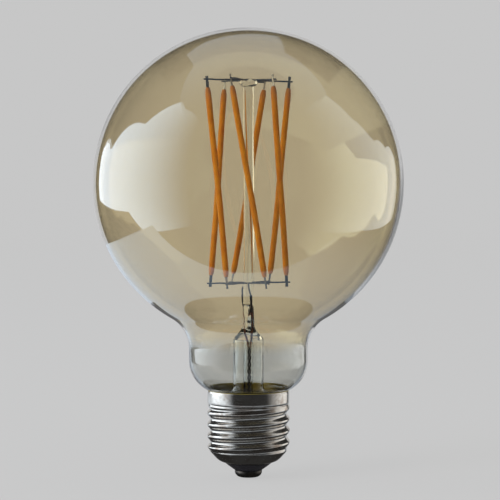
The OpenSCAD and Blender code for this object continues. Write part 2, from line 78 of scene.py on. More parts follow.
class Finish:
    # one material and the few calls that fill its node tree
    def __init__(self, name):
        self.material = bpy.data.materials.new(name)
        self.material.use_nodes = True
        self.tree = self.material.node_tree
        self.tree.nodes.clear()

    def make(self, kind, settings=None, inputs=None, output=0):
        node = self.tree.nodes.new(kind)
        for key, setting in (settings or {}).items():
            setattr(node, key, setting)
        for key, given in (inputs or {}).items():
            if isinstance(given, Value):
                self.tree.links.new(given.socket, node.inputs[key])
            elif isinstance(given, tuple) and len(given) == 3 and node.inputs[key].type == "RGBA":
                node.inputs[key].default_value = (*given, 1)
            else:
                node.inputs[key].default_value = given
        return Value(self, node.outputs[output])

    def coords(self):
        return self.make("ShaderNodeTexCoord", output="Object")

    def axis(self, letter):
        return self.make("ShaderNodeSeparateXYZ", None, {0: self.coords()}, output=letter)

    def noise(self, scale, detail=3.0, rough=0.5, vector=None):
        return self.make("ShaderNodeTexNoise", None,
                         {"Vector": vector or self.coords(), "Scale": scale,
                          "Detail": detail, "Roughness": rough})

    def stretched(self, scale):
        return self.make("ShaderNodeMapping", None, {"Vector": self.coords(), "Scale": scale})

    def spread(self, value, low, high, fromLow=0.0, fromHigh=1.0, smooth=False):
        kind = "SMOOTHSTEP" if smooth else "LINEAR"
        return self.make("ShaderNodeMapRange", {"interpolation_type": kind},
                         {"Value": value, "From Min": fromLow, "From Max": fromHigh,
                          "To Min": low, "To Max": high})

    def blended(self, factor, first, second):
        return self.make("ShaderNodeMix", {"data_type": "RGBA"},
                         {0: factor, 6: first, 7: second}, output=2)

    def bump(self, height, strength, distance):
        return self.make("ShaderNodeBump", None,
                         {"Height": height, "Strength": strength, "Distance": distance})

    def surface(self, inputs):
        return self.make("ShaderNodeBsdfPrincipled", None, inputs)

    def shown(self, shader):
        output = self.tree.nodes.new("ShaderNodeOutputMaterial")
        self.tree.links.new(shader.socket, output.inputs[0])
        return self.material


# mesh helpers: every new piece is a grid of points worked out as whole arrays

def gridFaces(rows, columns, wrapRows=False):
    # quads of a grid that closes around its columns, and also around its rows if asked
    last = rows if wrapRows else rows - 1
    i, k = np.meshgrid(np.arange(last), np.arange(columns), indexing="ij")
    below, beside = (i + 1) % rows, (k + 1) % columns
    quads = [i * columns + k, i * columns + beside, below * columns + beside, below * columns + k]
    return np.stack(quads, -1).reshape(-1, 4)


def endFans(total, rows, columns):
    # triangles from the last two points, which are the ends' centres, to the first and last rows
    k = np.arange(columns)
    after = (k + 1) % columns
    top = (rows - 1) * columns
    return np.vstack([np.stack([np.full(columns, total - 2), after, k], -1),
                      np.stack([np.full(columns, total - 1), top + k, top + after], -1)])


def meshOf(name, points, quads, triangles=None, crease=40):
    # points (n, 3), quads (m, 4) and triangles (t, 3) into one smooth-shaded object
    quads = np.asarray(quads, int).reshape(-1, 4)
    triangles = np.asarray(triangles if triangles is not None else [], int).reshape(-1, 3)
    mesh = bpy.data.meshes.new(name)
    mesh.vertices.add(len(points))
    mesh.vertices.foreach_set("co", np.asarray(points, np.float32).ravel())
    loops = np.concatenate([quads.ravel(), triangles.ravel()])
    mesh.loops.add(len(loops))
    mesh.loops.foreach_set("vertex_index", loops.astype(np.int32))
    sizes = np.concatenate([np.full(len(quads), 4), np.full(len(triangles), 3)])
    mesh.polygons.add(len(sizes))
    starts = np.concatenate([[0], np.cumsum(sizes)[:-1]])
    mesh.polygons.foreach_set("loop_start", starts.astype(np.int32))
    mesh.polygons.foreach_set("loop_total", sizes.astype(np.int32))
    mesh.polygons.foreach_set("use_smooth", np.ones(len(sizes), bool))
    mesh.update(calc_edges=True)
    mesh.validate()
    mesh.set_sharp_from_angle(angle=math.radians(crease))
    made = bpy.data.objects.new(name, mesh)
    scene.collection.objects.link(made)
    return made


def joined(parts):
    # several (points, quads, triangles) sets as one set
    offset, points, quads, triangles = 0, [], [], []
    for part in parts:
        points.append(part[0])
        quads.append(np.asarray(part[1], int).reshape(-1, 4) + offset)
        triangles.append(np.asarray(part[2], int).reshape(-1, 3) + offset)
        offset += len(part[0])
    return np.concatenate(points), np.concatenate(quads), np.concatenate(triangles)


def turned(profile, count, wobble=None):
    # (r, z) profile turned about Z: (r cos a, r sin a, z), with its outside on its right going up.
    # A profile from axis to axis closes to two poles, and any other one closes as a loop.
    profile = np.asarray(profile, float)
    angle = np.linspace(0, 2 * np.pi, count, endpoint=False)[None, :]
    poles = profile[0, 0] < 1e-9 and profile[-1, 0] < 1e-9
    body = profile[1:-1] if poles else profile
    radius = body[:, :1] + (0 * angle if wobble is None else wobble(body[:, :1], body[:, 1:], angle))
    height = np.repeat(body[:, 1:], count, axis=1)
    points = np.stack([radius * np.cos(angle), radius * np.sin(angle), height], -1).reshape(-1, 3)
    quads = gridFaces(len(body), count, wrapRows=not poles)
    if not poles:
        return points, quads, []
    points = np.vstack([points, [0, 0, profile[0, 1]], [0, 0, profile[-1, 1]]])
    return points, quads, endFans(len(points), len(body), count)


def arc(centre, radius, start, end, count):
    # points on a circle about centre, from one angle in degrees to another
    angle = np.radians(np.linspace(start, end, count))
    return np.stack([centre[0] + radius * np.cos(angle), centre[1] + radius * np.sin(angle)], -1)


def smoothPath(corners, count):
    # Catmull-Rom curve through the corners, resampled to even steps along its length
    corners = np.asarray(corners, float)
    padded = np.vstack([2 * corners[0] - corners[1], corners, 2 * corners[-1] - corners[-2]])
    t = np.linspace(0, 1, 24, endpoint=False)[:, None]
    spans = []
    for a, b, c, d in zip(padded[:-3], padded[1:-2], padded[2:-1], padded[3:]):
        spans.append(0.5 * (2 * b + (c - a) * t + (2 * a - 5 * b + 4 * c - d) * t ** 2
                            + (3 * b - a - 3 * c + d) * t ** 3))
    dense = np.vstack(spans + [corners[-1:]])
    along = np.concatenate([[0], np.cumsum(np.linalg.norm(np.diff(dense, axis=0), axis=1))])
    even = np.linspace(0, along[-1], count)
    return np.stack([np.interp(even, along, dense[:, k]) for k in range(3)], -1)


def roundSection(sides):
    # unit circle as a cross-section
    angle = np.linspace(0, 2 * np.pi, sides, endpoint=False)
    return np.stack([np.cos(angle), np.sin(angle)], -1)


def strapSection(width, thickness, sides=16):
    # rounded rectangle: both half sides times the signed square root of cos and sin
    circle = roundSection(sides)
    return np.sign(circle) * np.abs(circle) ** 0.4 * np.array([width / 2, thickness / 2])


def swept(path, radius, section=None, facing=(0.3, 1, 0.2)):
    # path(s) + radius(s) (x U(s) + y V(s)) over the section's (x, y), its ends closed on the path
    path = np.asarray(path, float)
    section = roundSection(12) if section is None else section
    along = np.gradient(path, axis=0)
    along /= np.linalg.norm(along, axis=1)[:, None]
    side = np.cross(np.broadcast_to(facing, path.shape), along)
    side /= np.linalg.norm(side, axis=1)[:, None]
    other = np.cross(along, side)
    radius = np.broadcast_to(radius, len(path))[:, None, None]
    across = section[None, :, :1] * side[:, None] + section[None, :, 1:] * other[:, None]
    ring = path[:, None] + radius * across
    sides = len(section)
    points = np.vstack([ring.reshape(-1, 3), path[0], path[-1]])
    return points, gridFaces(len(path), sides), endFans(len(points), len(path), sides)


def placed(name, parts, finish, slotName, *replaced, crease=40, marks=None):
    # one finished piece on the only body, standing for the CAD nodes that it replaces.
    # Its marks are named vertex values that its finish reads.
    piece = meshOf(name, *joined(parts), crease=crease)
    for mark, values in (marks or {}).items():
        piece.data.attributes.new(mark, "FLOAT", "POINT").data.foreach_set("value", values)
    piece.data.materials.append(finish)
    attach(piece, "root")
    if replaced:
        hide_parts(*replaced)
    return piece


def polar(radius, degrees, height):
    angle = math.radians(degrees)
    return np.array([radius * math.cos(angle), radius * math.sin(angle), height])


globeLow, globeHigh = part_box("globe")
globeR = globeHigh.x
crownZ = globeHigh.z
globeZ = crownZ - globeR

glass = {
    "wall": 0.8 * mm,          # thickness of the blown glass
    "neckR": 18.7 * mm,        # plain neck
    "shoulderR": 11 * mm,      # hollow curve between globe and neck
    "footR": 10.5 * mm,        # rounded foot of the neck
    "footZ": 37 * mm,
    "sealR": 12.2 * mm,        # where the glass enters the cap
    "film": (0.905, 0.785, 0.50),
    "sheen": (0.72, 0.88, 1.0),
    "clear": (0.79, 0.79, 0.755),
    "filmIor": 1.9,            # a high index, on both faces, stands for the film's half-mirror
    "clearIor": 1.5,
    "fadeLow": 39.5 * mm,      # the film fades out between these heights
    "fadeHigh": 45 * mm,
    "streak": 3 * mm,          # how far the film's edge wanders
    "wave": 0.08 * mm,         # unevenness of the inner face
}


def envelopeOutline(inset, count):
    # (r, z) from the sealed foot up to the crown, inset into the glass
    reach = globeR + glass["shoulderR"]
    hollowX = glass["neckR"] + glass["shoulderR"]
    hollowZ = globeZ - math.sqrt(reach ** 2 - hollowX ** 2)
    lean = math.degrees(math.atan2(globeZ - hollowZ, hollowX))
    foot = (glass["neckR"] - glass["footR"], glass["footZ"])
    sealR = glass["sealR"] - inset
    meet = -math.degrees(math.acos((sealR - foot[0]) / (glass["footR"] - inset)))
    straight = np.linspace([sealR, globeLow.z], [sealR, globeLow.z + 2.5 * mm], 4)
    outline = np.vstack([
        straight,
        arc(foot, glass["footR"] - inset, meet, 0, count // 5),
        arc((hollowX, hollowZ), glass["shoulderR"] + inset, 180, 180 - lean, count // 4),
        arc((0, globeZ), globeR - inset, -lean, 90, count)[1:],
    ])
    outline[-1, 0] = 0
    return outline


def blownWave(r, z, a):
    # slow waves of the inner face: w (sin 2a + sin(3a + 90 z) / 2) sin 60 z, nothing at the axis
    calm = np.clip(r / (12 * mm), 0, 1)
    return glass["wave"] * calm * (np.sin(2 * a + 0.4) + 0.5 * np.sin(3 * a + 90 * z)) * np.sin(60 * z)


def seeThrough(f, pane, colour):
    # glass that lets light reach what stands inside it: transparent to shadow rays only
    through = f.make("ShaderNodeBsdfTransparent", None, {0: colour})
    lamp = f.make("ShaderNodeLightPath", output="Is Shadow Ray")
    return f.shown(f.make("ShaderNodeMixShader", None, {0: lamp, 1: pane, 2: through}))


def glassBody(f, tint, ior, sheen=None):
    # smooth solid glass, whose reflections may be tinted
    inputs = {"Base Color": tint, "Transmission Weight": 1.0, "IOR": ior, "Roughness": 0.0}
    if sheen:
        inputs["Specular Tint"] = sheen
    return f.surface(inputs)


def glassFinish(name, tint, ior):
    # plain drawn glass
    f = Finish(name)
    return seeThrough(f, glassBody(f, tint, ior), (0.9, 0.9, 0.9))


def envelopeFinish():
    # half-mirror film that thins out to clear glass in the neck: film = smoothstep(z + streaks).
    # Its amber tint is on the inner face only, which a vertex mark tells from the outer one.
    f = Finish("tintedGlass")
    streaks = f.noise(1.0, 2.0, 0.5, f.stretched((60, 60, 14)))
    edge = f.axis("Z") + (streaks - 0.5) * glass["streak"]
    film = f.spread(edge, 0, 1, glass["fadeLow"], glass["fadeHigh"], smooth=True)
    inner = f.make("ShaderNodeAttribute", {"attribute_name": "innerFace"}, output="Fac")
    clear = glassBody(f, glass["clear"], glass["clearIor"])
    bright = glassBody(f, (0.98, 0.98, 0.98), glass["filmIor"], glass["sheen"])
    tinted = glassBody(f, glass["film"], glass["filmIor"], glass["sheen"])
    coated = f.make("ShaderNodeMixShader", None, {0: inner, 1: bright, 2: tinted})
    pane = f.make("ShaderNodeMixShader", None, {0: film, 1: clear, 2: coated})
    return seeThrough(f, pane, (0.88, 0.84, 0.72))


def makeEnvelope():
    # one closed skin: down the inner face from the crown, then up the outer face
    steps, count = 150, 192
    outer = envelopeOutline(0, steps)
    inner = envelopeOutline(glass["wall"], steps)[::-1]
    skin = np.vstack([inner, outer])
    inside = np.arange(len(skin))[1:-1, None] < len(inner)

    def wave(r, z, a):
        return np.where(inside, blownWave(r, z, a), 0)

    marks = np.concatenate([np.repeat(inside[:, 0].astype(np.float32), count), [1, 0]])
    placed("globe_glass", [turned(skin, count, wave)], envelopeFinish(), "tinted_glass", "globe", crease=80,
           marks={"innerFace": marks})
    print("envelope blown")


stem = {
    "tubeR": 4.8 * mm,
    "tubeWall": 0.7 * mm,
    "tubeTopZ": 43.8 * mm,
    "bendR": 4.6 * mm,
    "bendZ": 29 * mm,
    "floorR": 11.4 * mm,
    "pressTurn": -60,          # direction in which the press is wide, in degrees
    "pressZ": (43.8, 44.8, 46.2, 48.0, 50.0, 52.0, 53.4, 54.1, 54.45),
    "pressWide": (4.8, 4.75, 4.15, 3.1, 2.72, 2.55, 2.42, 2.1, 1.3),
    "pressDeep": (4.8, 4.2, 2.75, 1.65, 1.25, 1.15, 1.08, 0.85, 0.45),
    "squareZ": 45 * mm,        # the press turns squarish from here on
    "squareRise": 4 * mm,
    "rodR": 1.7 * mm,
    "rodLowZ": 54.52 * mm,
    "rodTopZ": 122.75 * mm,
    "buttonR": 2.8 * mm,
    "buttonZ": (122.8 * mm, 125.2 * mm),
    "exhaustR": 1.6 * mm,
    "exhaustBoreR": 1 * mm,
    "exhaustTipZ": 20.6 * mm,
}


def makeFlare(clear):
    bendX = stem["tubeR"] + stem["bendR"]
    thick = stem["bendR"] + stem["tubeWall"]
    floorZ = stem["bendZ"] - stem["bendR"]
    boreR = stem["tubeR"] - stem["tubeWall"]
    flare = np.vstack([
        np.linspace([boreR, stem["tubeTopZ"]], [boreR, stem["bendZ"]], 24),
        arc((bendX, stem["bendZ"]), thick, 180, 270, 20)[1:],
        [[stem["floorR"], floorZ - stem["tubeWall"]], [stem["floorR"], floorZ]],
        arc((bendX, stem["bendZ"]), stem["bendR"], 270, 180, 20),
        np.linspace([stem["tubeR"], stem["bendZ"]], [stem["tubeR"], stem["tubeTopZ"]], 24)[1:],
    ])

    def drawn(r, z, a):
        # hand-drawn tube: r (sin(2a + 60 z) + sin(3a - 110 z)) / 110
        return r * (np.sin(2 * a + 60 * z) + np.sin(3 * a - 110 * z)) / 110

    placed("stem_flare_glass", [turned(flare, 96, drawn)], clear, "clear_glass", "stem_flare")


def makePress(clear):
    # superellipse sections whose two half widths follow smooth curves up the stem
    rows, sides = 60, 64
    keys = np.array([stem["pressZ"], stem["pressWide"], stem["pressDeep"]]).T * mm
    levels = smoothPath(keys, rows)
    circle = roundSection(sides)
    squarish = np.clip((levels[:, 0] - stem["squareZ"]) / stem["squareRise"], 0, 1)[:, None, None]
    shape = np.sign(circle) * np.abs(circle) ** (1 - 0.25 * squarish)
    flatXy = shape * levels[:, None, 1:]
    turn = math.radians(stem["pressTurn"])
    x = flatXy[..., 0] * math.cos(turn) - flatXy[..., 1] * math.sin(turn)
    y = flatXy[..., 0] * math.sin(turn) + flatXy[..., 1] * math.cos(turn)
    z = np.repeat(levels[:, :1], sides, axis=1)
    ends = [[0, 0, levels[0, 0]], [0, 0, levels[-1, 0]]]
    points = np.vstack([np.stack([x, y, z], -1).reshape(-1, 3), ends])
    placed("stem_press_glass", [(points, gridFaces(rows, sides), endFans(len(points), rows, sides))],
           clear, "clear_glass", "stem_press")


def makeExhaust(clear):
    # tube that ends in a round tip, closed off when the bulb was pumped
    tipZ, topZ = stem["exhaustTipZ"] + stem["exhaustR"], stem["tubeTopZ"] - 0.05 * mm
    exhaust = np.vstack([
        arc((0, tipZ), stem["exhaustR"], -90, 0, 12),
        [[stem["exhaustR"], topZ], [stem["exhaustBoreR"], topZ]],
        arc((0, tipZ), stem["exhaustBoreR"], 0, -90, 8),
    ])
    exhaust[0, 0] = exhaust[-1, 0] = 0
    placed("exhaust_tube_glass", [turned(exhaust, 40)], clear, "clear_glass", "exhaust_tube")


def makeRod(clear):
    rows = 120
    height = np.linspace(stem["rodLowZ"], stem["rodTopZ"], rows)
    side = np.stack([np.full(rows, stem["rodR"]), height], -1)
    rod = np.vstack([[[0, height[0]]], side, [[0, height[-1]]]])

    def uneven(r, z, a):
        # drawn rod: r (sin(120 z + a) + sin(310 z - 2a)) / 90
        return r * (np.sin(120 * z + a) + np.sin(310 * z - 2 * a)) / 90

    placed("centre_rod_glass", [turned(rod, 48, uneven)], clear, "clear_glass", "centre_rod")


def makeButton(clear):
    low, high = stem["buttonZ"]
    half = (high - low) / 2
    rim = arc((stem["buttonR"] - half, low + half), half, -90, 90, 24)
    button = np.vstack([[[0, low]], rim, [[0, high]]])
    placed("top_button_glass", [turned(button, 64)], clear, "clear_glass", "top_button")


def makeStem():
    clear = glassFinish("clearGlass", (0.965, 0.975, 0.96), 1.5)
    for make in (makeFlare, makePress, makeExhaust, makeRod, makeButton):
        make(clear)
    print("stem drawn")


cage = {
    "highR": 12.95 * mm,
    "lowR": 12 * mm,
    "highZ": 124.8 * mm,
    "lowZ": 61.3 * mm,
    "firstAngle": 5.5,
    "lean": 51,
    "spokeR": 0.25 * mm,
    "overhang": 1.1 * mm,
    "weldShift": 0.42 * mm,
    "starR": 2.1 * mm,
    "liveArc": (267, 429),
    "neutralArc": (113, 262),
    "jacketR": 0.95 * mm,
    "jacketGap": 2.4 * mm,
    "jacketTip": 0.6 * mm,
    "tabWidth": 0.95 * mm,
    "tabThickness": 0.25 * mm,
    "tabOverhang": 1.3 * mm,
    "tabLength": 4.5 * mm,
    "kinks": (0.0, 0.15, -0.1, 0.12, -0.15, 0.1),
    "tilt": ((-0.024, 0.01), (0.012, -0.025)),   # rise along X and Y of the upper and the lower star
}


def cageAngle(i, lower=False):
    return cage["firstAngle"] + 60 * i + (cage["lean"] if lower else 0)


def filamentRun(i):
    # lower end, unit direction and length of a filament's axis
    low = polar(cage["lowR"], cageAngle(i, True), cage["lowZ"])
    high = polar(cage["highR"], cageAngle(i), cage["highZ"])
    length = np.linalg.norm(high - low)
    return low, (high - low) / length, length


def wireFinish(name, base, worn, rough):
    # drawn wire: two colours by noise, heat colours on the wires and painted shade on the lower tabs and the
    # contact plate, with fine scratches along it
    f = Finish(name)
    patches = f.spread(f.noise(700, 3.0), 0, 1, 0.38, 0.62)
    scratches = f.noise(1.0, 3.0, 0.6, f.stretched((4000, 4000, 900)))
    colour = f.blended(patches, base, worn)
    dull = f.spread(scratches, rough - 0.08, rough + 0.12)
    return f.shown(f.surface({"Base Color": colour, "Metallic": 1.0, "Roughness": dull,
                              "Normal": f.bump(scratches, 0.25, 0.02 * mm)}))


def spoke(i, lower, fromR):
    # wire from the hub out past its filament, with a slight kink where it was bent by hand
    angle = cageAngle(i, lower)
    z = cage["lowZ"] if lower else cage["highZ"]
    outR = (cage["lowR"] if lower else cage["highR"]) + cage["overhang"]
    kink = cage["kinks"][i] * mm
    across = np.array([-math.sin(math.radians(angle)), math.cos(math.radians(angle)), 0]) * cage["weldShift"]
    steps = np.array([fromR, 0.35 * outR + 0.65 * fromR, 0.7 * outR, outR - 1.8 * mm, outR])
    drops = np.array([0, 0.4, -0.5, 0.15, -0.35]) * kink
    corners = np.array([polar(r, angle, z + dz) + across for r, dz in zip(steps, drops)])
    corners[:, 2] += corners[:, :2] @ np.array(cage["tilt"][1 if lower else 0])
    return swept(smoothPath(corners, 24), cage["spokeR"], facing=(0, 0, 1))


def starArc(start, end):
    path = np.array([polar(cage["starR"], angle, cage["lowZ"]) for angle in np.linspace(start, end, 28)])
    return swept(path, cage["spokeR"], facing=(0, 0, 1))


def makeStars():
    wire = wireFinish("heatedWire", (0.085, 0.10, 0.14), (0.20, 0.17, 0.15), 0.34)
    placed("top_star", [spoke(i, False, 1.4 * mm) for i in range(6)], wire, "dark_wire", "top_star_wires")
    for name, spokes in (("live", (4, 5, 0)), ("neutral", (1, 2, 3))):
        parts = [starArc(*cage[f"{name}Arc"])] + [spoke(i, True, cage["starR"]) for i in spokes]
        placed(f"lower_star_{name}_wire", parts, wire, "dark_wire", f"lower_star_{name}")
    print("stars bent")
    return wire


def jacketFinish():
    # silicone with phosphor: orange, darker by slow noise and lighter in fine grains, browner at both tips
    f = Finish("phosphorJacket")
    slow = f.noise(260, 3.0, 0.55)
    grain = f.noise(5200, 2.0, 0.6)
    deep = f.blended(f.spread(slow, 0, 1, 0.35, 0.68), (1.0, 0.41, 0.025), (0.84, 0.30, 0.015))
    grainy = f.blended(f.spread(grain, 0, 0.3, 0.45, 0.75), deep, (1.0, 0.56, 0.08))
    tips = (f.spread(f.axis("Z"), 0, 1, cage["highZ"] - 7 * mm, cage["highZ"] - 2 * mm, smooth=True)
            + f.spread(f.axis("Z"), 1, 0, cage["lowZ"] + 2 * mm, cage["lowZ"] + 6 * mm, smooth=True))
    colour = f.blended(tips * 0.6, grainy, (0.50, 0.20, 0.05))
    return f.shown(f.surface({"Base Color": colour, "Roughness": f.spread(slow, 0.38, 0.55),
                              "Subsurface Weight": 0.25, "Subsurface Radius": Vector((1.0, 0.45, 0.15)),
                              "Subsurface Scale": 0.6 * mm, "Coat Weight": 0.15,
                              "Normal": f.bump(grain, 0.35, 0.03 * mm)}))


def makeFilaments():
    jacket = jacketFinish()
    silver = wireFinish("nickelTab", (0.62, 0.60, 0.56), (0.35, 0.33, 0.31), 0.30)
    # the lower tabs are the same nickel as the upper ones: their dark colour is painted shade and painted
    # dark reflection
    dark = wireFinish("shadedLowerTab", (0.13, 0.15, 0.20), (0.30, 0.27, 0.24), 0.32)
    gap, tip, full = cage["jacketGap"], cage["jacketTip"], cage["jacketR"]
    for i in range(6):
        low, axis, length = filamentRun(i)
        # jacket: radius rises over each taper as 1 - (1 - t)^2 and swells with two slow waves
        along = np.linspace(gap, length - gap, 96)
        lowTaper = np.clip((along - gap) / ((2.2 + 0.35 * (i % 3)) * mm), 0, 1)
        highTaper = np.clip((length - gap - along) / ((2.6 - 0.3 * (i % 2)) * mm), 0, 1)
        rise = np.minimum(1 - (1 - lowTaper) ** 2, 1 - (1 - highTaper) ** 2)
        swell = 1 + 0.018 * np.sin(along * 420 + i) + 0.012 * np.sin(along * 1130 + 2 * i)
        radius = (tip + (full - tip) * rise) * np.minimum(swell, 1.02) * 0.985
        path = low + along[:, None] * axis
        placed(f"filament_{i + 1}_jacket", [swept(path, radius, roundSection(24))], jacket, "phosphor",
               f"filament_{i + 1}")
    for lower in (True, False):
        parts = []
        for i in range(6):
            low, axis, length = filamentRun(i)
            facing = polar(1, cageAngle(i, lower), 0)
            start = -cage["tabOverhang"] if lower else length - cage["tabLength"] + cage["tabOverhang"]
            steps = start + np.linspace(0, cage["tabLength"], 20)
            pinch = np.abs(steps - (0 if lower else length)) / mm
            scale = 1 - 0.18 * np.exp(-(pinch / 0.5) ** 2)
            tangent = np.cross(axis, facing)
            parts.append(swept(low + steps[:, None] * axis, scale,
                               strapSection(cage["tabWidth"], cage["tabThickness"]), facing=tangent))
        placed("lower_tabs" if lower else "upper_tabs", parts, dark if lower else silver, "tab",
               "filament_tabs_lower" if lower else "filament_tabs_upper")
    print("filaments hung")


leads = {
    "offset": 2.15 * mm,
    "thickR": 0.42 * mm,
    "thinR": 0.25 * mm,
    "sealR": 0.3 * mm,
    "splay": {"live": (-0.3, -0.25, 0), "neutral": (-0.85, -0.1, 0)},
    "lowZ": 52 * mm,
    "topZ": 57.2 * mm,
    "twistAt": (0.3 * mm, -2.7 * mm),
    "twistR": 0.34 * mm,
    "pitch": 4.2 * mm,
    "twistTopZ": 42 * mm,
    "sleeveLowZ": 25 * mm,
    "sleeveR": 0.27 * mm,
    "coreR": 0.16 * mm,
    "knee": (3.2 * mm, -1.6 * mm, 20.4 * mm),
    "pad": (3.2 * mm, -0.9 * mm, 18.4 * mm),
}


def leadAt(side, z):
    return polar(side * leads["offset"], stem["pressTurn"], z)


def twistPoints(side, lowZ, highZ, count):
    # helix about the twist's own axis: (c cos t, c sin t, z), t = 2 pi (z - top) / pitch
    z = np.linspace(lowZ, highZ, count)
    t = 2 * np.pi * (z - leads["twistTopZ"]) / leads["pitch"]
    x = leads["twistAt"][0] + side * leads["twistR"] * np.cos(t)
    y = leads["twistAt"][1] + side * leads["twistR"] * np.sin(t)
    return np.stack([x, y, z], -1)


def sleeveFinish():
    # dark woven sleeve: brown-black grain
    f = Finish("leadSleeve")
    grain = f.noise(2600, 3.0)
    return f.shown(f.surface({"Base Color": f.blended(grain, (0.020, 0.017, 0.014), (0.055, 0.040, 0.030)),
                              "Roughness": f.spread(grain, 0.35, 0.6),
                              "Normal": f.bump(grain, 0.2, 0.03 * mm)}))


def makeLeads(wire):
    seal = wireFinish("sealWire", (0.50, 0.20, 0.11), (0.26, 0.09, 0.06), 0.38)
    copper = wireFinish("supplyWire", (0.80, 0.47, 0.26), (0.60, 0.30, 0.15), 0.28)
    sleeve = sleeveFinish()
    for side, name, startAngle in ((1, "live", 269), (-1, "neutral", 115)):
        weld = polar(cage["starR"], startAngle, cage["lowZ"] - cage["spokeR"])
        # above the press the leads stand off the rod, the neutral one out to its side
        splay = np.array(leads["splay"][name]) * mm
        foot, top = leadAt(side, leads["lowZ"]), leadAt(side, leads["topZ"]) + splay
        bend = (weld + top) / 2 + splay * 0.6 + np.array([0, 0, 0.3]) * mm
        thin = swept(smoothPath([weld, bend, top], 20), leads["thinR"])
        thick = swept(smoothPath([foot, (foot + top) / 2 + splay * 0.15, top + [0, 0, 0.3 * mm]], 14),
                      leads["thickR"])
        placed(f"inner_lead_{name}_wire", [thin, thick], wire, "dark_wire", f"inner_lead_{name}")
        foot = twistPoints(side, leads["twistTopZ"], leads["twistTopZ"], 1)[0]
        head = leadAt(side, leads["lowZ"])
        sag = head * 0.55 + foot * 0.45 + np.array([0.25 * side, -0.2, 0]) * mm
        placed(f"dumet_{name}_wire", [swept(smoothPath([foot, sag, head], 24), leads["sealR"])],
               seal, "seal_wire", f"dumet_{name}")
        mirror = np.array([side, 1, 1])
        rise = twistPoints(side, leads["sleeveLowZ"] - 1 * mm, leads["twistTopZ"], 90)
        corners = np.vstack([np.array(leads["pad"]) * mirror, np.array(leads["knee"]) * mirror, rise[:1]])
        core = np.vstack([smoothPath(corners, 20)[:-1], rise])
        placed(f"outer_lead_{name}_core", [swept(core, leads["coreR"])], copper, "supply_wire",
               f"outer_lead_{name}")
    sleeveTopZ = leads["twistTopZ"] - 0.5 * mm
    covers = [swept(twistPoints(side, leads["sleeveLowZ"], sleeveTopZ, 90), leads["sleeveR"])
              for side in (1, -1)]
    placed("lead_sleeve_pair", covers, sleeve, "dark_sleeve", "lead_sleeves")
    print("leads twisted")


cap = {
    "collarR": 12.95 * mm,
    "rimZ": 27.4 * mm,
    "sheet": 0.3 * mm,
    "threadTopZ": 23 * mm,
    "threadLowZ": 8.3 * mm,
    "phaseZ": 7.59 * mm,
    "pitch": 3.62 * mm,
    "crestR": 13.1 * mm,
    "rootR": 12.1 * mm,
    "runOut": 1.6 * mm,
    "skirtR": 12.2 * mm,
    "waist": (9.6 * mm, 5.6 * mm),
    "lip": (7.4 * mm, 4.6 * mm),
    "dent": 0.035 * mm,        # unevenness of the rolled sheet
    "contactR": 4.3 * mm,
    "contactTopZ": 2.2 * mm,
    "contactBendR": 1.85 * mm,
    "cementZ": (23.3 * mm, 27.5 * mm),
    "plated": (0.80, 0.77, 0.72),
    "tarnish": (0.30, 0.20, 0.13),
}


def eased(t):
    t = np.clip(t, 0, 1)
    return t * t * (3 - 2 * t)


def capRadius(z, a):
    # collar, then mean + depth cos(2 pi (z - phase) / pitch - a) between the run-outs, then skirt
    live = np.minimum(eased((cap["threadTopZ"] - z) / cap["runOut"]),
                      eased((z - cap["threadLowZ"]) / cap["runOut"]))
    mean = (cap["crestR"] + cap["rootR"]) / 2
    depth = (cap["crestR"] - cap["rootR"]) / 2
    turn = np.cos(2 * np.pi * (z - cap["phaseZ"]) / cap["pitch"] - a)
    rolled = np.sign(turn) * np.abs(turn) ** 0.85
    plain = np.where(z > (cap["threadTopZ"] + cap["threadLowZ"]) / 2, cap["collarR"], cap["skirtR"])
    dents = cap["dent"] * (np.sin(5 * a + 900 * z) + np.sin(3 * a - 500 * z + 1)) * live / 2
    collar = eased((z - cap["threadTopZ"]) / (0.6 * mm)) * eased((cap["rimZ"] - z) / (0.5 * mm))
    groove = 0.22 * mm * np.exp(-((z - cap["threadTopZ"] - 0.2 * mm) / (0.35 * mm)) ** 2)
    lipIn = 0.12 * mm * (1 - eased((cap["rimZ"] - z) / (0.45 * mm)))
    belly = 0.05 * mm * (1 - collar) * (z > cap["threadTopZ"])
    return plain * (1 - live) + (mean + depth * rolled) * live + dents - groove - lipIn - belly


def capFinish():
    # nickel plate: brownish tarnish in patches, stronger towards the thread crests, and rolling marks around
    # it
    f = Finish("platedSheet")
    x, y, z = f.axis("X"), f.axis("Y"), f.axis("Z")
    reach = (x * x + y * y) ** 0.5
    crest = f.spread(reach, 0, 1, cap["rootR"], cap["crestR"])
    patches = f.spread(f.noise(190, 4.0, 0.6), 0, 1, 0.48, 0.66)
    stains = f.spread(f.noise(620, 3.0, 0.65), 0, 1, 0.52, 0.72)
    marks = f.noise(1.0, 4.0, 0.65, f.stretched((160, 160, 5200)))
    brown = patches * (0.30 + crest * 0.35) + stains * 0.22
    colour = f.blended(brown, cap["plated"], cap["tarnish"])
    rough = f.spread(marks, 0.10, 0.20) + patches * 0.08
    return f.shown(f.surface({"Base Color": colour, "Metallic": 1.0, "Roughness": rough,
                              "Normal": f.bump(marks, 0.12, 0.03 * mm)}))


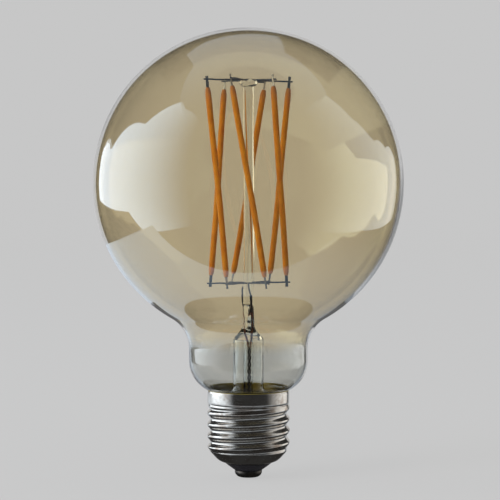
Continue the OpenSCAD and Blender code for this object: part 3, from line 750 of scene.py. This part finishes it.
def makeCapSheet():
    # rolled sheet: outer and inner face as one closed grid of heights by angles
    around = 200
    z = np.concatenate([np.linspace(cap["threadLowZ"], cap["threadTopZ"], 130),
                        np.linspace(cap["threadTopZ"], cap["rimZ"], 34)[1:]])
    a = np.linspace(0, 2 * np.pi, around, endpoint=False)[None, :]
    outer = capRadius(z[:, None], a)
    turnIn = np.array([[cap["skirtR"], cap["threadLowZ"]], cap["waist"], cap["lip"]])
    skirt = smoothPath(np.column_stack([turnIn, np.zeros(3)]), 16)[::-1, :2][:-1]
    radius = np.vstack([np.repeat(skirt[:, :1], around, axis=1), outer])
    height = np.concatenate([skirt[:, 1], z])
    rim = np.array([0.35, 0.75, 1.0])[:, None] * cap["sheet"]
    inner = radius[::-1] - cap["sheet"]
    radius = np.vstack([radius, radius[-1:] - rim * 0.5, inner])
    height = np.concatenate([height, [cap["rimZ"]] * 3, height[::-1]])
    tall = np.repeat(height[:, None], around, axis=1)
    points = np.stack([radius * np.cos(a), radius * np.sin(a), tall], -1).reshape(-1, 3)
    placed("cap_sheet", [(points, gridFaces(len(radius), around, wrapRows=True), [])],
           capFinish(), "cap_metal", "cap_shell", crease=60)


def blackGlassFinish():
    # fused black glass: two near blacks in slow swirls
    f = Finish("blackGlass")
    swirl = f.noise(320, 3.0)
    return f.shown(f.surface({"Base Color": f.blended(swirl, (0.012, 0.012, 0.014), (0.030, 0.028, 0.034)),
                              "Roughness": f.spread(swirl, 0.10, 0.24), "Coat Weight": 0.4,
                              "Normal": f.bump(swirl, 0.3, 0.05 * mm)}))


def makeInsulator():
    contactR, contactTop = cap["contactR"], cap["contactTopZ"]
    insulator = np.vstack([
        [[0.6 * mm, contactTop]], [[contactR - 0.1 * mm, contactTop]],
        smoothPath([[contactR, contactTop + 0.02 * mm, 0], [5.6 * mm, 3.15 * mm, 0],
                    [7.0 * mm, 4.2 * mm, 0], [7.4 * mm, 4.62 * mm, 0]], 16)[:, :2],
        [[7.35 * mm, 4.88 * mm], [9.4 * mm, 5.85 * mm], [9.4 * mm, 6.8 * mm], [0.6 * mm, 6.9 * mm]],
    ])
    placed("insulator_glass", [turned(insulator, 96)], blackGlassFinish(), "black_glass", "cap_insulator")


def makeContact():
    # the solder contact's near-black colour is painted shade, standing in for the dark reflection that the
    # solder shows
    solder = wireFinish("shadedContactPlate", (0.10, 0.095, 0.09), (0.22, 0.19, 0.16), 0.42)
    contactR, contactTop, bendR = cap["contactR"], cap["contactTopZ"], cap["contactBendR"]
    contact = np.vstack([
        [[0, 0.0]], [[1.2 * mm, 0.0]], [[2.4 * mm, 0.01 * mm]],
        arc((contactR - bendR, bendR), bendR, -88, 0, 18),
        [[contactR - 0.02 * mm, contactTop - 0.08 * mm], [contactR - 0.15 * mm, contactTop], [0, contactTop]],
    ])
    placed("contact_plate", [turned(contact, 80)], solder, "contact_metal", "centre_contact")


def cementFinish():
    # ochre cement: slow lumps in colour, gritty bump
    f = Finish("capCement")
    grit = f.noise(1500, 4.0, 0.7)
    lumps = f.noise(240, 3.0)
    return f.shown(f.surface({"Base Color": f.blended(lumps, (0.72, 0.60, 0.13), (0.36, 0.29, 0.06)),
                              "Roughness": 0.6, "Normal": f.bump(grit, 0.6, 0.15 * mm)}))


def makeCement():
    low, high = cap["cementZ"]

    def oozed(r, z, a):
        # the ring shrinks by waves over its height: 0.02 (sin(7a + 1) sin 900 z - 1) mm
        return 0.02 * mm * (np.sin(7 * a + 1) * np.sin(900 * z) - 1)

    ring = [[12.60 * mm, high], [12.27 * mm, high - 0.35 * mm], [12.27 * mm, low], [12.6 * mm, low],
            [12.63 * mm, low + 1.6 * mm], [12.64 * mm, high - 0.2 * mm], [12.84 * mm, high + 0.02 * mm]]
    placed("cement_ring", [turned(ring, 96, oozed)], cementFinish(), "cement", "cap_cement")


def makeCap():
    for make in (makeCapSheet, makeInsulator, makeContact, makeCement):
        make()
    print("cap rolled")


def plainFinish(name, base, other, scale, rough, metal=0.0, bump=0.2):
    # small electronic part: two close colours by noise, roughness around its middle, fine bump
    f = Finish(name)
    blotch = f.noise(scale, 3.0)
    fine = f.noise(scale * 6, 3.0)
    return f.shown(f.surface({"Base Color": f.blended(blotch, base, other), "Metallic": metal,
                              "Roughness": f.spread(fine, rough - 0.08, rough + 0.12),
                              "Normal": f.bump(fine, bump, 0.03 * mm)}))


def boardFinish(name, mask, trace):
    # solder mask over copper: thin tracks show through as lighter lines from two crossed waves
    f = Finish(name)
    x, z = f.axis("X"), f.axis("Z")
    lines = f.spread((x * 3900).wave() * (z * 2700).wave(), 0, 1, 0.55, 0.7)
    weave = f.noise(2500, 2.0)
    return f.shown(f.surface({"Base Color": f.blended(lines, mask, trace), "Coat Weight": 0.3,
                              "Roughness": f.spread(weave, 0.3, 0.5),
                              "Normal": f.bump(lines, 0.4, 0.03 * mm)}))


def dressElectronics():
    # the hidden parts keep their CAD shapes and get finishes of their own
    finishes = {
        "contact_pin": plainFinish("pinBrass", (0.72, 0.52, 0.22), (0.55, 0.36, 0.13), 600, 0.3, 1.0),
        "insulating_disc": plainFinish("amberFilm", (0.58, 0.49, 0.11), (0.38, 0.30, 0.06), 300, 0.35),
        "driver_board": boardFinish("greenMask", (0.015, 0.13, 0.05), (0.05, 0.26, 0.10)),
        "wireless_board": boardFinish("blueMask", (0.012, 0.05, 0.20), (0.05, 0.14, 0.38)),
        "smoothing_capacitor": plainFinish("aluminiumCan", (0.78, 0.78, 0.79), (0.62, 0.62, 0.63),
                                           500, 0.3, 1.0),
        "capacitor_sleeve": plainFinish("blueSleeve", (0.02, 0.035, 0.12), (0.03, 0.05, 0.16), 400, 0.3),
        "inductor_core": plainFinish("ferrite", (0.045, 0.042, 0.042), (0.08, 0.075, 0.07), 900, 0.6),
        "inductor_winding": plainFinish("enamelledCopper", (0.62, 0.24, 0.07), (0.45, 0.15, 0.04),
                                        1200, 0.3, 1.0),
        "fusible_resistor": plainFinish("resistorLacquer", (0.10, 0.30, 0.34), (0.07, 0.22, 0.26), 700, 0.35),
        "live_wire": plainFinish("redPvc", (0.48, 0.03, 0.025), (0.36, 0.02, 0.02), 700, 0.4),
        "neutral_wire": plainFinish("bluePvc", (0.03, 0.10, 0.42), (0.02, 0.07, 0.32), 700, 0.4),
        "solder_joints": plainFinish("solder", (0.66, 0.66, 0.65), (0.48, 0.48, 0.48), 900, 0.28, 1.0),
        "filament_strips": plainFinish("ceramicStrip", (0.80, 0.78, 0.72), (0.70, 0.67, 0.60), 800, 0.5),
        "led_chips": plainFinish("ledChip", (0.10, 0.20, 0.55), (0.16, 0.30, 0.62), 2000, 0.2),
        "chip_passives": plainFinish("passiveBody", (0.30, 0.20, 0.12), (0.20, 0.13, 0.08), 1500, 0.45),
    }
    black = plainFinish("mouldedBlack", (0.018, 0.018, 0.020), (0.035, 0.035, 0.037), 1500, 0.5)
    can = plainFinish("shieldPlate", (0.72, 0.71, 0.69), (0.58, 0.57, 0.55), 700, 0.28, 1.0)
    gold = plainFinish("goldPlate", (0.86, 0.62, 0.25), (0.70, 0.47, 0.16), 900, 0.25, 1.0)
    for name in ("rectifier", "driver_chip", "flyback_diode", "wireless_chip"):
        finishes[name] = black
    for name in ("shield_can", "crystal_oscillator"):
        finishes[name] = can
    for name in ("header_pins", "antenna_trace"):
        finishes[name] = gold
    for name, finish in finishes.items():
        mesh = nodes[name].data
        mesh.materials.clear()
        mesh.materials.append(finish)
    print("electronics dressed:", len(finishes))


room = {
    "floorZ": -0.4 * mm,
    "floorR": 2.4,
    "bend": 1.2,
    "wallTop": 3.0,
    "glow": 0.51,
    "paint": 0.10,
    "world": 0.03,
    "keyWatts": 8,
    "sideX": 1.2,              # distance of the two side umbrellas from the axis
    "overheadZ": 1.3,
    "cameraAt": (0.0005, -0.6, 0.0925),
    "aimAt": (0.0005, 0.0, 0.0716),
    "lens": 137.4,
}


def makeRoom():
    # studio bowl: flat floor, quarter-circle bend, straight wall and flat ceiling. Its dim world
    # shows only in reflections, where the bowl is left out so that the lights stand on a dark room.
    profile = np.vstack([
        [[0, room["floorZ"]], [0.4, room["floorZ"]], [1.4, room["floorZ"]]],
        arc((room["floorR"], room["floorZ"] + room["bend"]), room["bend"], -90, 0, 24),
        [[room["floorR"] + room["bend"], room["wallTop"]], [0, room["wallTop"]]],
    ])
    points, quads, fans = turned(profile, 96)
    bowl = meshOf("studio_bowl", points, quads[:, ::-1], fans[:, ::-1])
    f = Finish("studioPaint")
    paint = f.surface({"Base Color": (room["paint"],) * 3, "Roughness": 1.0, "Specular IOR Level": 0.0,
                       "Emission Color": (1.0, 1.0, 1.0), "Emission Strength": room["glow"]})
    mirrored = f.make("ShaderNodeLightPath", output="Glossy Depth")
    gone = f.make("ShaderNodeBsdfTransparent")
    bowl.data.materials.append(f.shown(f.make("ShaderNodeMixShader", None, {0: mirrored, 1: paint, 2: gone})))
    bowl.data.materials[0].cycles.emission_sampling = "NONE"
    world = bpy.data.worlds.new("studioWorld")
    scene.world = world
    world.use_nodes = True
    background = world.node_tree.nodes["Background"]
    background.inputs[0].default_value = (1, 1, 1, 1)
    background.inputs[1].default_value = room["world"]
    print("room built")


def lightFinish(name, letter, low, high, dim, bright, strength):
    # glowing cloth that thins out to nothing along one axis, and changes colour on the way. It shows
    # after a reflection or a diffuse bounce and through the solid glass inside the globe, but not
    # straight through the globe's own wall.
    f = Finish(name)
    passes = f.make("ShaderNodeLightPath", output="Transmission Depth")
    bounces = (f.make("ShaderNodeLightPath", output="Glossy Depth")
               + f.make("ShaderNodeLightPath", output="Diffuse Depth") + f.spread(passes, 0, 1, 4.5, 5.5))
    along = f.spread(f.axis(letter), 0, 1, low, high, smooth=True)
    glow = f.make("ShaderNodeEmission", None, {0: f.blended(along, dim, bright), 1: strength})
    clear = f.make("ShaderNodeBsdfTransparent")
    seen = f.spread(bounces, 0, 1, 0, 1) * along
    material = f.shown(f.make("ShaderNodeMixShader", None, {0: seen, 1: clear, 2: glow}))
    material.cycles.emission_sampling = "NONE"
    return material


def hangLight(name, points, quads, finish, triangles=None, lights=True):
    # a light panel is unseen by the camera and throws no shadow. A card lights no matt surface either.
    panel = meshOf(name, points, quads, triangles)
    panel.data.materials.append(finish)
    panel.visible_camera = False
    panel.visible_shadow = False
    panel.visible_diffuse = lights


def sideUmbrella(name, x, topKeys, lowKeys, lobes, depth, finish):
    # upright cloth in the plane x: heights between two key curves over y, its upper edge
    # scalloped by depth |sin(lobes pi t)|
    columns, levels = 121, 9
    t = np.linspace(0, 1, columns)
    topKeys, lowKeys = np.array(topKeys), np.array(lowKeys)
    y = topKeys[0, 0] + (topKeys[-1, 0] - topKeys[0, 0]) * t
    top = np.interp(y, topKeys[:, 0], topKeys[:, 1]) + depth * np.abs(np.sin(lobes * np.pi * t))
    low = np.interp(y, lowKeys[:, 0], lowKeys[:, 1])
    rows = np.linspace(0, 1, levels)[:, None]
    z = globeZ + low * (1 - rows) + top * rows
    points = np.stack([np.full(z.shape, x), np.broadcast_to(y, z.shape), z], -1).reshape(-1, 3)
    i, k = np.meshgrid(np.arange(levels - 1), np.arange(columns - 1), indexing="ij")
    first = (i * columns + k).ravel()
    above = first + columns
    hangLight(name, points, np.stack([first, first + 1, above + 1, above], -1), finish)


studio = {
    "cool": (0.87, 0.95, 1.04),
    "warm": (1.0, 0.985, 0.96),
    "sides": 180,              # points around each card
    "openingR": 0.048,         # round opening in the floor card, under the bulb
    "cardLeftX": -0.215,
    "cardRightX": 0.35,
    "cardMiddleY": 0.013,
    "cardFront": 0.081,        # from the card's middle to its front edge
    "cardBackY": 0.113,
    "gapX": 0.075,             # half the gap between the two strips
    "stripBackY": 1.9,
    "backdropY": 2.0,
    "dimY": 2.05,
    "backdropWide": 1.12,
    "backdropHigh": 1.05,
    "keyAt": (-1.0, -0.7, 0.45),
    "keySize": 0.5,
}


def hangUmbrellas():
    cool, warm = studio["cool"], studio["warm"]
    sideUmbrella("left_umbrella", -room["sideX"],
                 ((-1.25, 1.5), (-0.3, 1.4), (0.1, 0.70), (0.9, 0.26), (1.5, 0.26)),
                 ((-1.25, -0.9), (0.0, -0.55), (0.2, -0.28), (1.5, -0.13)), 4, 0.09,
                 lightFinish("leftCloth", "Y", -1.35, 0.35, cool, cool, 1.9))
    sideUmbrella("right_umbrella", room["sideX"],
                 ((-1.0, 1.6), (0.1, 1.35), (0.2, 0.72), (0.5, 0.38), (1.35, 0.22)),
                 ((-1.0, -0.9), (0.2, -0.5), (1.35, -0.3)), 5, 0.05,
                 lightFinish("rightCloth", "Y", -1.0, 0.8, warm, warm, 0.92))


def discFan(count):
    # triangles from the sides of an outline of count points to the point that follows them
    k = np.arange(count)
    return np.stack([k, (k + 1) % count, np.full(count, count)], -1)


def hangOverhead():
    # a strip over the bulb that widens to the right on the camera's side
    edge = np.array([[-1.2, -0.9], [1.1, -0.9], [1.05, 0.15], [0.34, 0.6], [0.24, 1.6], [-0.36, 1.35],
                     [-0.58, 1.0], [-0.56, 0.4], [-1.0, -0.2]])
    rim = np.column_stack([edge, np.full(len(edge), room["overheadZ"])])
    middle = np.array([[0.1, 0.0, room["overheadZ"]]])
    cloth = lightFinish("overheadCloth", "Y", -0.9, 0.6, studio["cool"], studio["cool"], 0.34)
    hangLight("overhead_cloth", np.vstack([rim, middle]), [], cloth, discFan(len(edge)))


def layFloorCard():
    # polar grid from a round opening out to a rectangle's edge, and two strips behind it whose gap
    # is mirrored as a dark line along the shoulder's outline
    a = np.linspace(0, 2 * np.pi, studio["sides"], endpoint=False)
    left, right, gap = studio["cardLeftX"], studio["cardRightX"], studio["gapX"]
    middleY, backY = studio["cardMiddleY"], studio["cardBackY"]
    reachX = np.where(np.cos(a) > 0, right, -left)
    reachY = np.where(np.sin(a) > 0, backY - middleY, studio["cardFront"])
    edgeX = reachX / np.maximum(np.abs(np.cos(a)), 1e-6)
    edgeY = reachY / np.maximum(np.abs(np.sin(a)), 1e-6)
    rings = np.stack([np.full(len(a), studio["openingR"]), np.minimum(edgeX, edgeY)])
    card = np.stack([rings * np.cos(a), middleY + rings * np.sin(a)], -1).reshape(-1, 2)
    farY = studio["stripBackY"]
    strips = np.array([[x, y] for near, far in ((left, -gap), (gap, right))
                       for x, y in ((near, backY), (far, backY), (far, farY), (near, farY))])
    points = np.column_stack([np.vstack([card, strips]), np.full(len(card) + len(strips), 0.2 * mm)])
    quads = np.vstack([gridFaces(2, len(a)), len(card) + np.arange(8).reshape(2, 4)])
    finish = lightFinish("floorCard", "X", 0.25, -0.15, (0.5, 0.56, 0.64), studio["cool"], 0.75)
    hangLight("floor_card", points, quads, finish, lights=False)


def standBackdrops():
    # an ellipse with a wedge cut out below, seen in the glass only along its outline. A dim copy
    # behind it fills the wedge with grey.
    a = np.linspace(0, 2 * np.pi, studio["sides"], endpoint=False)
    wide, high = studio["backdropWide"] * np.cos(a), globeZ + studio["backdropHigh"] * np.sin(a)
    for name, y, low, strength in (
            ("backdrop_card", studio["backdropY"], 0.02 - 0.95 * np.abs(wide), 0.56),
            ("dim_card", studio["dimY"], high, 0.13)):
        disc = np.stack([wide, np.full(len(a), y), np.maximum(high, low)], -1)
        finish = lightFinish(name, "Y", 0, 1, (1, 1, 1), (1, 1, 1), strength)
        hangLight(name, np.vstack([disc, [0, y, globeZ]]), [], finish, discFan(len(a)), lights=False)


def hangKeyLight():
    # soft light from the front left, kept out of the reflections
    lamp = bpy.data.lights.new("keyLight", "AREA")
    lamp.energy = room["keyWatts"]
    lamp.size = studio["keySize"]
    key = bpy.data.objects.new("keyLight", lamp)
    scene.collection.objects.link(key)
    key.location = studio["keyAt"]
    key.rotation_euler = (Vector((0, 0, globeZ)) - key.location).to_track_quat("-Z", "Y").to_euler()
    key.visible_camera = key.visible_glossy = key.visible_transmission = False


def makeLights():
    for hang in (hangUmbrellas, hangOverhead, layFloorCard, standBackdrops, hangKeyLight):
        hang()
    print("lights hung")


def makeCamera():
    data = bpy.data.cameras.new("mainCamera")
    camera = bpy.data.objects.new("mainCamera", data)
    scene.collection.objects.link(camera)
    data.lens = room["lens"]
    data.clip_start = 0.01
    data.clip_end = 20
    camera.location = room["cameraAt"]
    look = Vector(room["aimAt"]) - Vector(room["cameraAt"])
    camera.rotation_euler = look.to_track_quat("-Z", "Y").to_euler()
    scene.camera = camera
    scene.view_settings.view_transform = "Standard"
    print("camera set")


makeEnvelope()
makeStem()
starWire = makeStars()
makeFilaments()
makeLeads(starWire)
makeCap()
dressElectronics()
makeRoom()
makeLights()
makeCamera()
